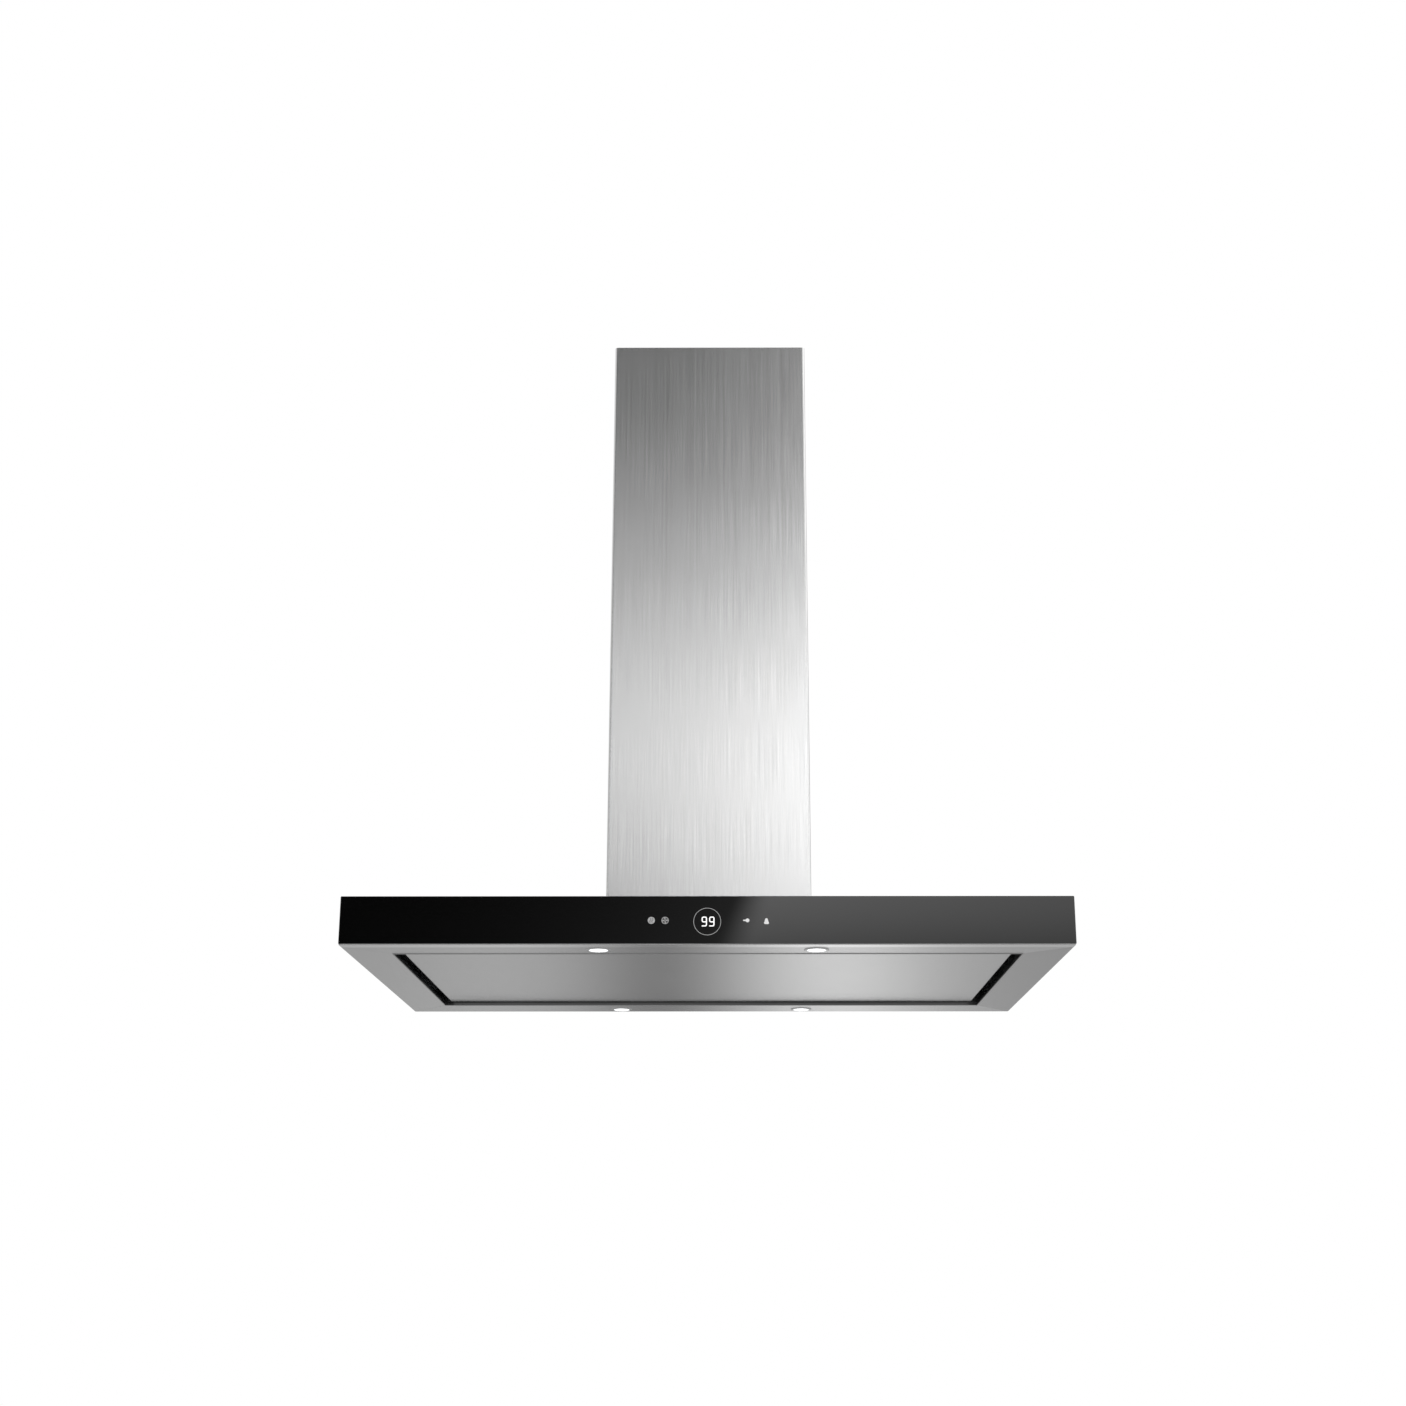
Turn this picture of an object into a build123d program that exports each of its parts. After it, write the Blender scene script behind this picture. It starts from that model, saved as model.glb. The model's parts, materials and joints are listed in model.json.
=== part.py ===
from build123d import *
import math
import os

# Island range hood with perimeter suction, hung from the ceiling.
# Millimetres. Origin: centre of the ceiling plate's top face. +Z up, +X to the right,
# -Y to the front (the glass side). The telescopic chimney is stored at its shortest.

# ---- driving dimensions -------------------------------------------------------------------
WIDTH = 900.0           # canopy, X
DEPTH = 600.0           # canopy, Y, front glass included
HEIGHT = 890.0          # ceiling to the canopy's lower face
CANOPY_H = 60.0         # canopy thickness
CHIMNEY = 270.0         # lower chimney, square section
TRAVEL = 300.0          # how far the hood can be lowered on its uprights
SHEET = 1.0             # stainless sheet
GLASS_T = 4.0           # front glass

RIM_SIDE = 56.0         # canopy's side to the suction opening
RIM_END = 70.0          # canopy's front or back to the suction opening
TRIM_DEPTH = 22.0       # glass face to the back edge of the front trim
SLOT = 9.0              # suction slot all round the panel
PANEL_RECESS = 4.0      # panel face above the rim face
PANEL_H = 10.0          # panel tray depth
LAMP_X = 135.0          # lamps, left and right of the centre
LAMP_FRONT_INSET = 40.0
LAMP_REAR_INSET = 25.0
LAMP_R = 15.5           # bezel radius

DUCT_R = 75.0           # outside of the duct collar
ANCHOR_X = 109.0        # ceiling anchor holes, half spacings
ANCHOR_Y = 60.0
ANCHOR_R = 4.0

# ---- levels and outlines worked out from them ---------------------------------------------
Z_LOW = -HEIGHT                         # canopy's lower face
Z_TOP = Z_LOW + CANOPY_H                # canopy's upper face
HALF_W = WIDTH / 2
FRONT = -DEPTH / 2
BACK = DEPTH / 2
GLASS_BACK = FRONT + GLASS_T
SHELL_FRONT = GLASS_BACK + SHEET        # the trim's wall lies between glass and shell
TRIM_BACK = FRONT + TRIM_DEPTH
OPEN_X = HALF_W - RIM_SIDE              # suction opening, half width
OPEN_Y = BACK - RIM_END                 # suction opening, half depth
PANEL_X = OPEN_X - SLOT
PANEL_Y = OPEN_Y - SLOT
PANEL_LOW = Z_LOW + PANEL_RECESS
PANEL_TOP = PANEL_LOW + PANEL_H
DECK_LOW = Z_LOW + 34.0                 # lower face of the filter deck
DECK_TOP = DECK_LOW + SHEET
RIM_FLANGE_H = 22.0
DISPLAY_HALF = 82.0                     # window for the display, half width
DISPLAY_Z = (Z_LOW + 10.0, Z_TOP - 10.0)

BOX_HALF = 122.0                        # motor box, half side
BOX_TOP = Z_TOP + 290.0
LEG_T = 1.5                             # angle section of the uprights
LEG_W = 25.0
LEG_GAP = 0.3
LEG_LOWER = 128.0                       # outer corner of the lower uprights
LEG_UPPER = LEG_LOWER - LEG_T - LEG_GAP
FOOT_T = 2.0
PLATE_T = 2.0
LOWER_LEG_TOP = -80.0
UPPER_LEG_LOW = -440.0
BOLT_R = 3.0
BOLT_X = 115.0
BOLT_Z = -110.0
COVER_TOP = -2.0
UPPER_COVER_HALF = CHIMNEY / 2 - 2.5
UPPER_COVER_LOW = -400.0
AIR_SLOTS = 8                           # in each side of each half of the upper cover

HINGE_X = 300.0
HINGE_Y = PANEL_Y - 13.0
HINGE_Z = PANEL_TOP + 5.0
PIN_R = 2.0
RUN_GAP = 0.05                          # radial clearance of every running fit
CATCH_X = 250.0
CATCH_Y = -PANEL_Y + 19.0

FILTER_X = 250.0
FILTER_Y = 300.0
FILTER_H = 9.0
FILTER_CENTRE = 130.0
FILTER_TOP = DECK_LOW - 0.5
FILTER_LOW = FILTER_TOP - FILTER_H
LATCH_TOP = FILTER_LOW - 1.4
LATCH_T = 2.0
LATCH_LIP_TOP = LATCH_TOP - 2.6         # lips of the guides, under the latch

SHAFT_Y = -12.0
SHAFT_Z = Z_TOP + 140.0
SHAFT_R = 5.0
SHAFT_X = (-66.0, 20.0)
WHEEL_R = 74.0
WHEEL_HALF = 56.0
WHEEL_IN = 60.0                         # inner radius of the blades and end rings
BLADES = 30                             # on each side of the middle disc
SCROLL_HALF = 70.0                      # blower housing, half width along the shaft
MOTOR_X = (-58.0, -14.0)
MOTOR_R = 44.0
BOSS_R = 16.0
COLLAR_TOP = BOX_TOP + 55.0
COLLAR_T = 2.5
FLAP_Z = BOX_TOP + 30.0
FLAP_PIN_R = 1.5
TERMINAL = (64.0, 100.0)                # terminal box, in X and in Y
OVER = 1.0                              # how far a cutting shape passes the face it cuts


# ---- helpers ------------------------------------------------------------------------------
def block(x, y, z):
    """A box between two corners, each argument a (low, high) pair."""
    size = [hi - lo for lo, hi in (x, y, z)]
    middle = [(hi + lo) / 2 for lo, hi in (x, y, z)]
    return Pos(*middle) * Box(*size)


def post(x, y, z, radius):
    """An upright cylinder from z[0] to z[1]."""
    return Pos(x, y, (z[0] + z[1]) / 2) * Cylinder(radius, z[1] - z[0])


def bar_x(x, y, z, radius):
    """A cylinder along X from x[0] to x[1]."""
    return Pos((x[0] + x[1]) / 2, y, z) * Rot(0, 90, 0) * Cylinder(radius, x[1] - x[0])


def bar_y(x, y, z, radius):
    """A cylinder along Y from y[0] to y[1]."""
    return Pos(x, (y[0] + y[1]) / 2, z) * Rot(90, 0, 0) * Cylinder(radius, y[1] - y[0])


def on_shaft(x, radius):
    """A cylinder on the blower's shaft axis from x[0] to x[1]."""
    return bar_x(x, SHAFT_Y, SHAFT_Z, radius)


def centred(half):
    """The (low, high) pair of a span centred on zero."""
    return (-half, half)


def about(centre, half):
    """The (low, high) pair of a span round a centre."""
    return (centre - half, centre + half)


def beside(sign, near, far, centre=0.0):
    """The (low, high) pair from near to far on one side of a centre."""
    return tuple(sorted((centre + sign * near, centre + sign * far)))


def plate_xy(points, z):
    """A flat plate from an outline seen from above."""
    outline = make_face(Polyline(*[(x, y, z[0]) for x, y in points], close=True))
    return extrude(outline, amount=z[1] - z[0], dir=(0, 0, 1))


def round_corners(part, radius, axis=Axis.Z):
    """Rounds every edge that runs along the axis."""
    return fillet(part.edges().filter_by(axis), radius)


def round_front_corners(part, radius):
    """Rounds the two upright edges nearest the front."""
    uprights = part.edges().filter_by(Axis.Z).sort_by(Axis.Y)
    return fillet(uprights[:2], radius)


def mirrored(part, *planes):
    """The part and its mirror images in each plane in turn, as a list of solids."""
    parts = [part]
    for plane in planes:
        parts += [mirror(p, about=plane) for p in parts]
    return parts


def four(part):
    """The part in all four corners."""
    return mirrored(part, Plane.YZ, Plane.XZ)


def save(name, *parts):
    """Writes one node; several parts stay separate solids."""
    solids = [s for p in parts for s in p.solids()]
    export_step(solids[0] if len(solids) == 1 else Compound(solids), f"parts/{name}.step")


# ---- ceiling support ----------------------------------------------------------------------
def ceiling_plate():
    """Square plate with the duct opening, four anchor holes and a stiffening lip."""
    hole, corner, lip = 92.0, 20.0, 8.0
    plate = block(centred(LEG_UPPER), centred(LEG_UPPER), (-PLATE_T, 0))
    rim = block(centred(hole + LEG_T), centred(hole + LEG_T), (-lip, 0))
    opening = block(centred(hole), centred(hole), (-lip - OVER, OVER))
    plate = plate + round_corners(rim, corner + LEG_T) - round_corners(opening, corner)
    for anchor in four(post(-ANCHOR_X, -ANCHOR_Y, (-PLATE_T - OVER, OVER), ANCHOR_R)):
        plate -= anchor
    save("ceiling_plate", plate)


def upright(corner, z):
    """Angle-section upright in the front left corner."""
    edge = (-corner, -corner + LEG_W)
    wall = (-corner, -corner + LEG_T)
    return block(edge, wall, z) + block(wall, edge, z)


def upper_legs():
    """Four uprights below the ceiling plate, each with a long slot for its clamp bolt."""
    slot_half, slot_r, margin = BOLT_R + 0.3, BOLT_R + 0.2, 20.0
    slot = block(
        about(-BOLT_X, slot_half),
        (-LEG_UPPER - OVER, -LEG_UPPER + LEG_T + OVER),
        (BOLT_Z - TRAVEL - margin, BOLT_Z + margin),
    )
    leg = upright(LEG_UPPER, (UPPER_LEG_LOW, -PLATE_T)) - round_corners(slot, slot_r, Axis.Y)
    save("upper_legs", *four(leg))


def lower_legs():
    """Four uprights on the canopy, outside the upper ones."""
    leg = upright(LEG_LOWER, (Z_TOP + FOOT_T, LOWER_LEG_TOP))
    wall = (-LEG_LOWER - OVER, -LEG_LOWER + LEG_T + OVER)
    leg -= bar_y(-BOLT_X, wall, BOLT_Z, BOLT_R + RUN_GAP)
    save("lower_legs", *four(leg))


def frame_feet():
    """Two foot plates at each corner carry the lower legs round the motor box."""
    outer, inner, end = -133.0, -123.0, -100.0
    z = (Z_TOP, Z_TOP + FOOT_T)
    across = block((outer, end), (outer, inner), z)
    along = block((outer, inner), (inner, end), z)
    save("frame_feet", *four(across), *four(along))


def clamp_bolts():
    """A bolt and a nut at each corner clamp the lower leg to the upper one."""
    head_r, head_t, shank, nut_r, nut_t = 5.5, 2.4, 11.0, 5.6, 5.0
    face, end = -LEG_LOWER, -LEG_LOWER + shank
    bolt = bar_y(-BOLT_X, (face - head_t, face), BOLT_Z, head_r)
    bolt += bar_y(-BOLT_X, (face, end), BOLT_Z, BOLT_R)
    nut_end = -LEG_UPPER + LEG_T + nut_t
    hexagon = extrude(RegularPolygon(nut_r, 6), nut_t)
    nut = Pos(-BOLT_X, nut_end, BOLT_Z) * Rot(90, 0, 0) * hexagon
    nut -= bar_y(-BOLT_X, (face, end + nut_t), BOLT_Z, BOLT_R)
    save("clamp_bolts", *four(bolt), *four(nut))


def u_cover(half, z, radius):
    """Front half of a square chimney: a U of sheet, bent at its two front corners."""
    seam = -0.15
    outer = round_front_corners(block(centred(half), (-half, seam), z), radius)
    inside = half - SHEET
    hollow = block(centred(inside), (-inside, OVER), (z[0] - OVER, z[1] + OVER))
    return outer - round_front_corners(hollow, radius - SHEET)


def lower_chimney():
    """Outer chimney cover in two halves, joined by strips inside the side seams."""
    bend_r = 3.5
    front = u_cover(CHIMNEY / 2, (Z_TOP, COVER_TOP), bend_r)
    save("lower_chimney_front", front)
    save("lower_chimney_rear", mirror(front, about=Plane.XZ))
    strip_t, strip_half, foot, head = 0.8, 15.0, 5.0, 15.0
    inside = CHIMNEY / 2 - SHEET
    strip = block((inside - strip_t, inside), centred(strip_half),
                  (Z_TOP + foot, COVER_TOP - head))
    save("chimney_seam_strips", *mirrored(strip, Plane.YZ))


def upper_chimney():
    """Inner chimney cover, fixed to the ceiling plate, with air slots in its sides."""
    bend_r, top_gap = 2.5, 0.5
    front = u_cover(UPPER_COVER_HALF, (UPPER_COVER_LOW, -top_gap), bend_r)
    slot_h, pitch, first, slot_y = 4.0, 9.0, -40.0, (-60.0, -18.0)
    for n in range(AIR_SLOTS):
        top = first - n * pitch
        front -= block(centred(UPPER_COVER_HALF + OVER), slot_y, (top - slot_h, top))
    save("upper_chimney_front", front)
    save("upper_chimney_rear", mirror(front, about=Plane.XZ))


def cover_clips():
    """Blocks between the ceiling plate's edge and the upper cover, with a tab below it."""
    half, drop, tab_end = 30.0, 14.0, -112.0
    inner = UPPER_COVER_HALF - SHEET
    clip = block(centred(half), (-inner, -LEG_UPPER), (-drop, -PLATE_T))
    clip += block(centred(half), (-inner, tab_end), (-2 * PLATE_T, -PLATE_T))
    save("cover_clips", *mirrored(clip, Plane.XZ))


# ---- canopy -------------------------------------------------------------------------------
def canopy_shell():
    """Folded steel box, open below, with the air opening and the display window."""
    corner_r, top_r, margin = 2.0, 1.5, 4.0
    shell = round_corners(block(centred(HALF_W), (SHELL_FRONT, BACK), (Z_LOW, Z_TOP)), corner_r)
    shell = fillet(shell.faces().sort_by(Axis.Z)[-1].edges(), top_r)
    shell -= block(centred(HALF_W - SHEET), (SHELL_FRONT + SHEET, BACK - SHEET),
                   (Z_LOW - OVER, Z_TOP - SHEET))
    air = centred(BOX_HALF - margin)
    shell -= block(air, air, (Z_TOP - SHEET - OVER, Z_TOP + OVER))
    shell -= block(centred(DISPLAY_HALF), (SHELL_FRONT - OVER, SHELL_FRONT + SHEET + OVER),
                   DISPLAY_Z)
    # room for the trim's lower flange
    shell -= block(centred(HALF_W + OVER), (SHELL_FRONT - OVER, TRIM_BACK),
                   (Z_LOW - OVER, Z_LOW + SHEET))
    save("canopy_shell", shell)


def front_trim():
    """Angle profile that carries the glass: a wall behind it and a lower flange."""
    trim = block(centred(HALF_W), (GLASS_BACK, TRIM_BACK), (Z_LOW, Z_LOW + SHEET))
    trim += block(centred(HALF_W), (GLASS_BACK, SHELL_FRONT), (Z_LOW, Z_TOP))
    trim -= block(centred(DISPLAY_HALF), (GLASS_BACK - OVER, SHELL_FRONT + OVER), DISPLAY_Z)
    save("front_trim", trim)


def front_glass():
    """Black tempered glass with ground edges."""
    margin, edge = 0.3, 0.8
    glass = block(centred(HALF_W), (FRONT, GLASS_BACK), (Z_LOW + margin, Z_TOP - margin))
    save("front_glass", chamfer(glass.faces().sort_by(Axis.Y)[0].edges(), edge))


def rail(name, outline, flanges, lamp_y=None):
    """One mitred rail of the underside: a flat face with upturned flanges."""
    hole_r = LAMP_R - 2.0
    part = plate_xy(outline, (Z_LOW, Z_LOW + SHEET))
    for x, y, height in flanges:
        part += block(x, y, (Z_LOW, Z_LOW + height))
    if lamp_y is not None:
        for x in centred(LAMP_X):
            part -= post(x, lamp_y, (Z_LOW - OVER, Z_LOW + SHEET + OVER), hole_r)
    save(name, part)


def rims():
    """Front, rear, left and right rails round the suction opening, mitred at the corners."""
    gap = 0.15                          # half of each mitre joint
    wall_h, wall_end = 15.0, 20.0       # outer flange, and where it stops short of a corner
    out_x, back = HALF_W - SHEET, BACK - SHEET
    outer, inner = out_x - gap, OPEN_X - gap
    rail("rim_front",
         [(-outer, TRIM_BACK), (outer, TRIM_BACK), (inner, -OPEN_Y), (-inner, -OPEN_Y)],
         [(centred(inner), (-OPEN_Y - SHEET, -OPEN_Y), RIM_FLANGE_H)],
         FRONT + LAMP_FRONT_INSET)
    rail("rim_rear",
         [(-outer, back), (outer, back), (inner, OPEN_Y), (-inner, OPEN_Y)],
         [(centred(inner), (OPEN_Y, OPEN_Y + SHEET), RIM_FLANGE_H),
          (centred(out_x - wall_end), (back - SHEET, back), wall_h)],
         BACK - LAMP_REAR_INSET)
    for name, side in (("rim_left", -1), ("rim_right", 1)):
        rail(name,
             [(side * out_x, TRIM_BACK + gap), (side * OPEN_X, -OPEN_Y + gap),
              (side * OPEN_X, OPEN_Y - gap), (side * out_x, back - gap)],
             [(beside(side, OPEN_X, OPEN_X + SHEET), centred(OPEN_Y - gap), RIM_FLANGE_H),
              (beside(side, out_x - SHEET, out_x),
               (TRIM_BACK + wall_end, back - wall_end), wall_h)])


def filter_deck():
    """Inner pan that separates the suction side from the blower, with two filter windows."""
    skirt_x, skirt_y, skirt_low = OPEN_X + SHEET, OPEN_Y + SHEET, Z_LOW + 12.0
    border, corner_r = 6.0, 6.0
    deck = block(centred(skirt_x + SHEET), centred(skirt_y + SHEET), (skirt_low, DECK_TOP))
    deck -= block(centred(skirt_x), centred(skirt_y), (skirt_low - OVER, DECK_LOW))
    for x in centred(FILTER_CENTRE):
        window = block(about(x, FILTER_X / 2 - border), centred(FILTER_Y / 2 - border),
                       (DECK_LOW - OVER, DECK_TOP + OVER))
        deck -= round_corners(window, corner_r)
    save("filter_deck", deck)


# ---- grease filters -----------------------------------------------------------------------
def filter_rails():
    """Rear ledge and front keeper plate that hold the filters up to the deck."""
    x = centred(FILTER_CENTRE + FILTER_X / 2)
    edge = FILTER_Y / 2
    gap, ledge = 0.5, 5.0
    ledge_z = (FILTER_LOW - gap - SHEET, FILTER_LOW - gap)
    rear = block(x, (edge + SHEET, edge + 2 * SHEET), (ledge_z[0], DECK_LOW))
    rear += block(x, (edge - ledge, edge + 2 * SHEET), ledge_z)
    keeper_y, keeper_drop, slot_half, slot_gap = (-edge - 3.5, -edge - 2.5), 5.0, 13.0, 0.4
    front = block(x, keeper_y, (LATCH_TOP - keeper_drop, DECK_LOW))
    for centre in centred(FILTER_CENTRE):
        front -= block(about(centre, slot_half), (keeper_y[0] - OVER, keeper_y[1] + OVER),
                       (LATCH_TOP - LATCH_T - slot_gap, LATCH_TOP + slot_gap))
    save("filter_rails", rear, front)


def filter_frame(side, centre):
    """Aluminium channel frame with two lipped guides for its latch."""
    border, wall, corner_r = 12.0, 1.0, 3.0
    half_x, half_y = FILTER_X / 2, FILTER_Y / 2
    frame = block(about(centre, half_x), centred(half_y), (FILTER_LOW, FILTER_TOP))
    frame = round_corners(frame, corner_r)
    frame -= block(about(centre, half_x - border), centred(half_y - border),
                   (FILTER_LOW - OVER, FILTER_TOP + OVER))
    frame -= block(about(centre, half_x - wall), centred(half_y - wall),
                   (FILTER_LOW + wall, FILTER_TOP - wall))
    guide_in, guide_out, lip_in, lip_t = 15.4, 17.5, 12.5, 1.0
    guide_y = (-half_y + 1.0, -half_y + 11.0)
    for sign in (-1, 1):
        frame += block(beside(sign, guide_in, guide_out, centre), guide_y,
                       (LATCH_LIP_TOP - lip_t, FILTER_LOW))
        frame += block(beside(sign, lip_in, guide_out, centre), guide_y,
                       (LATCH_LIP_TOP - lip_t, LATCH_LIP_TOP))
    save(f"filter_{side}_frame", frame)


def filter_mesh(side, centre):
    """Two expanded-metal layers inside the frame, each drawn as a thin sheet."""
    layer, inset = 0.6, 1.1
    layers = [
        block(about(centre, FILTER_X / 2 - inset), centred(FILTER_Y / 2 - inset),
              (z, z + layer))
        for z in (FILTER_LOW + SHEET, FILTER_TOP - SHEET - layer)
    ]
    save(f"filter_{side}_mesh", *layers)


def filter_latch(side, centre):
    """Sliding latch: a tongue into the keeper plate, wings in the guides, a ribbed grip."""
    tongue_half, wing_half, rib_half = 11.0, 15.0, 9.0
    reach, wing_y, grip_end = 6.0, (1.5, 4.5), 38.0
    ribs, rib_t, rib_pitch, first_rib, rib_drop = 4, 2.0, 4.5, 20.0, 4.2
    edge = -FILTER_Y / 2
    z = (LATCH_TOP - LATCH_T, LATCH_TOP)
    latch = block(about(centre, tongue_half), (edge - reach, edge + grip_end), z)
    latch += block(about(centre, wing_half), (edge + wing_y[0], edge + wing_y[1]), z)
    for n in range(ribs):
        y = edge + first_rib + n * rib_pitch
        latch += block(about(centre, rib_half), (y, y + rib_t), (LATCH_TOP - rib_drop, z[1]))
    save(f"filter_{side}_latch", latch)


# ---- suction panel ------------------------------------------------------------------------
def panel_skin():
    """Stainless tray, open above, with rounded lower edges."""
    corner_r, edge_r = 2.0, 1.8
    skin = block(centred(PANEL_X), centred(PANEL_Y), (PANEL_LOW, PANEL_TOP))
    skin = round_corners(skin, corner_r)
    skin = fillet(skin.faces().sort_by(Axis.Z)[0].edges(), edge_r)
    skin -= block(centred(PANEL_X - SHEET), centred(PANEL_Y - SHEET),
                  (PANEL_LOW + SHEET, PANEL_TOP + OVER))
    save("panel_skin", skin)


def panel_inner_pan():
    """Lid of the panel tray, pressed down into three stiffening beads; returns its top."""
    gap, pan_t, bead_half, bead_drop, bead_end = 0.2, 0.8, 9.0, 3.0, 60.0
    x, y = PANEL_X - SHEET - gap, PANEL_Y - SHEET - gap
    top = PANEL_TOP - gap
    bead_x = x - bead_end
    pan = block(centred(x), centred(y), (top - pan_t, top))
    for centre in (-y / 2, 0.0, y / 2):
        pan += block(centred(bead_x), about(centre, bead_half), (top - pan_t - bead_drop, top))
        pan -= block(centred(bead_x - pan_t), about(centre, bead_half - pan_t),
                     (top - bead_drop, top + OVER))
    save("panel_inner_pan", pan)
    return top


def panel_hardware(base):
    """Hinge lugs with their pins, and the catches' keepers; returns the keepers' top."""
    lug_half, foot_half, foot_t, neck_half, knuckle_r = 5.5, 10.0, 1.2, 3.6, 4.2
    x = about(HINGE_X, lug_half)
    lug = block(x, about(HINGE_Y, foot_half), (base, base + foot_t))
    lug += block(x, about(HINGE_Y, neck_half), (base, HINGE_Z))
    lug += bar_x(x, HINGE_Y, HINGE_Z, knuckle_r)
    lug -= bar_x(about(HINGE_X, lug_half + OVER), HINGE_Y, HINGE_Z, PIN_R)
    save("panel_hinge_lugs", *mirrored(lug, Plane.YZ))
    pin_half, head_from, head_to, head_r = 9.5, 8.5, 10.0, 3.2
    pin = bar_x(about(HINGE_X, pin_half), HINGE_Y, HINGE_Z, PIN_R)
    pin += bar_x((HINGE_X + head_from, HINGE_X + head_to), HINGE_Y, HINGE_Z, head_r)
    save("hinge_pins", *mirrored(pin, Plane.YZ))
    keeper_x, keeper_y, keeper_t = 15.0, 10.0, 0.8
    top = base + keeper_t
    keeper = block(about(CATCH_X, keeper_x), about(CATCH_Y, keeper_y), (base, top))
    save("catch_keepers", *mirrored(keeper, Plane.YZ))
    return top


def hinge_brackets():
    """Forked brackets below the deck; the panel's pins turn in their ears."""
    ear_r, foot_half, foot_back, foot_t, ear_in, ear_out = 4.0, 14.0, 12.0, 1.2, 6.0, 8.0
    bracket = block(about(HINGE_X, foot_half), (HINGE_Y - foot_back, HINGE_Y + ear_r),
                    (DECK_LOW - foot_t, DECK_LOW))
    for sign in (-1, 1):
        x = beside(sign, ear_in, ear_out, HINGE_X)
        bracket += block(x, about(HINGE_Y, ear_r), (HINGE_Z, DECK_LOW))
        bracket += bar_x(x, HINGE_Y, HINGE_Z, ear_r)
    bracket -= bar_x(about(HINGE_X, foot_half), HINGE_Y, HINGE_Z, PIN_R + RUN_GAP)
    save("hinge_brackets", *mirrored(bracket, Plane.YZ))


def magnetic_catches(keeper_top):
    """Magnet blocks with a mounting flange, just above the panel's keepers."""
    gap, body_x, body_y, flange_x, flange_t = 0.3, 13.0, 8.0, 19.0, 2.0
    catch = block(about(CATCH_X, body_x), about(CATCH_Y, body_y), (keeper_top + gap, DECK_LOW))
    catch += block(about(CATCH_X, flange_x), about(CATCH_Y, body_y),
                   (DECK_LOW - flange_t, DECK_LOW))
    save("magnetic_catches", *mirrored(catch, Plane.YZ))


# ---- lamps --------------------------------------------------------------------------------
def lamps():
    """Four LED spotlights pushed up into the rims: a flanged cup and a lens each."""
    bezel_t, bevel, cup_r, cup_h = 1.2, 0.8, LAMP_R - 2.3, 21.0
    fins, fin_gap, fin_depth = (7.0, 11.0, 15.0), 2.0, 1.5
    lens_r, lens_low, lens_top, pocket = 12.0, -0.6, 1.4, 5.0
    for name, y in (("front", FRONT + LAMP_FRONT_INSET), ("rear", BACK - LAMP_REAR_INSET)):
        bezel = post(LAMP_X, y, (Z_LOW - bezel_t, Z_LOW), LAMP_R)
        bezel = chamfer(bezel.faces().sort_by(Axis.Z)[0].edges(), bevel)
        cup = bezel + post(LAMP_X, y, (Z_LOW, Z_LOW + cup_h), cup_r)
        for low in fins:
            z = (Z_LOW + low, Z_LOW + low + fin_gap)
            cup -= post(LAMP_X, y, z, cup_r + OVER) - post(LAMP_X, y, z, cup_r - fin_depth)
        cup -= post(LAMP_X, y, (Z_LOW - pocket, Z_LOW + pocket), lens_r)
        save(f"lamp_housings_{name}", *mirrored(cup, Plane.YZ))
        lens = post(LAMP_X, y, (Z_LOW + lens_low, Z_LOW + lens_top), lens_r)
        save(f"lamp_lenses_{name}", *mirrored(lens, Plane.YZ))


# ---- electronics --------------------------------------------------------------------------
def display_module():
    """Touch and display board in its carrier, pressed against the back of the glass."""
    half_x, margin, wall, depth, edge = DISPLAY_HALF - 2.0, 2.0, 2.0, 10.0, 1.0
    board_y = (GLASS_BACK + 0.2, GLASS_BACK + 1.8)
    z = (DISPLAY_Z[0] + margin, DISPLAY_Z[1] - margin)
    carrier = block(centred(half_x), (board_y[1], GLASS_BACK + depth), z)
    carrier -= block(centred(half_x - wall), (board_y[1] + wall, GLASS_BACK + depth + OVER),
                     (z[0] + wall, z[1] - wall))
    board = block(centred(half_x - edge), board_y, (z[0] + edge, z[1] - edge))
    save("display_module", carrier + board)


def control_box():
    """Plastic tray on the deck, right of the blower, with its lid; returns its inside."""
    x, y, z = (272.0, 384.0), centred(120.0), (DECK_TOP, Z_TOP - 3.0)
    wall, lid_t = 2.0, 1.8
    inside_x, inside_y = (x[0] + wall, x[1] - wall), (y[0] + wall, y[1] - wall)
    floor = z[0] + wall
    save("control_box", block(x, y, z) - block(inside_x, inside_y, (floor, z[1] + OVER)))
    save("control_box_lid", block(x, y, (z[1], z[1] + lid_t)))
    return inside_x, inside_y, floor


def control_board(x, y, floor):
    """Board on four spacers with a transformer, four capacitors and five relays."""
    gap, spacer, board_t, sunk = 2.5, 2.4, 1.6, 0.1
    under, top = floor + spacer, floor + spacer + board_t
    board = block((x[0] + gap, x[1] - gap), (y[0] + gap, y[1] - gap), (under, top))
    coil_x, coil_y, coil_h = (12.0, 48.0), (-90.0, -48.0), 12.0
    board += block((x[0] + coil_x[0], x[0] + coil_x[1]), coil_y, (top - sunk, top + coil_h))
    can_x, can_y, can_r, can_h, pitch = 28.0, -80.0, 7.0, 11.0, 25.0
    for n in range(4):
        board += post(x[1] - can_x, can_y + n * pitch, (top - sunk, top + can_h), can_r)
    relay_x, relay_y, relay_half, relay_h = (10.0, 28.0), -22.0, 8.0, 9.0
    for n in range(5):
        board += block((x[0] + relay_x[0], x[0] + relay_x[1]),
                       about(relay_y + n * pitch, relay_half), (top - sunk, top + relay_h))
    foot_r, foot_in = 3.0, 9.0
    for foot_x in (x[0] + foot_in, x[1] - foot_in):
        for foot_y in (y[0] + foot_in, y[1] - foot_in):
            board += post(foot_x, foot_y, (floor, top), foot_r)
    save("control_board", board)


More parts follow.
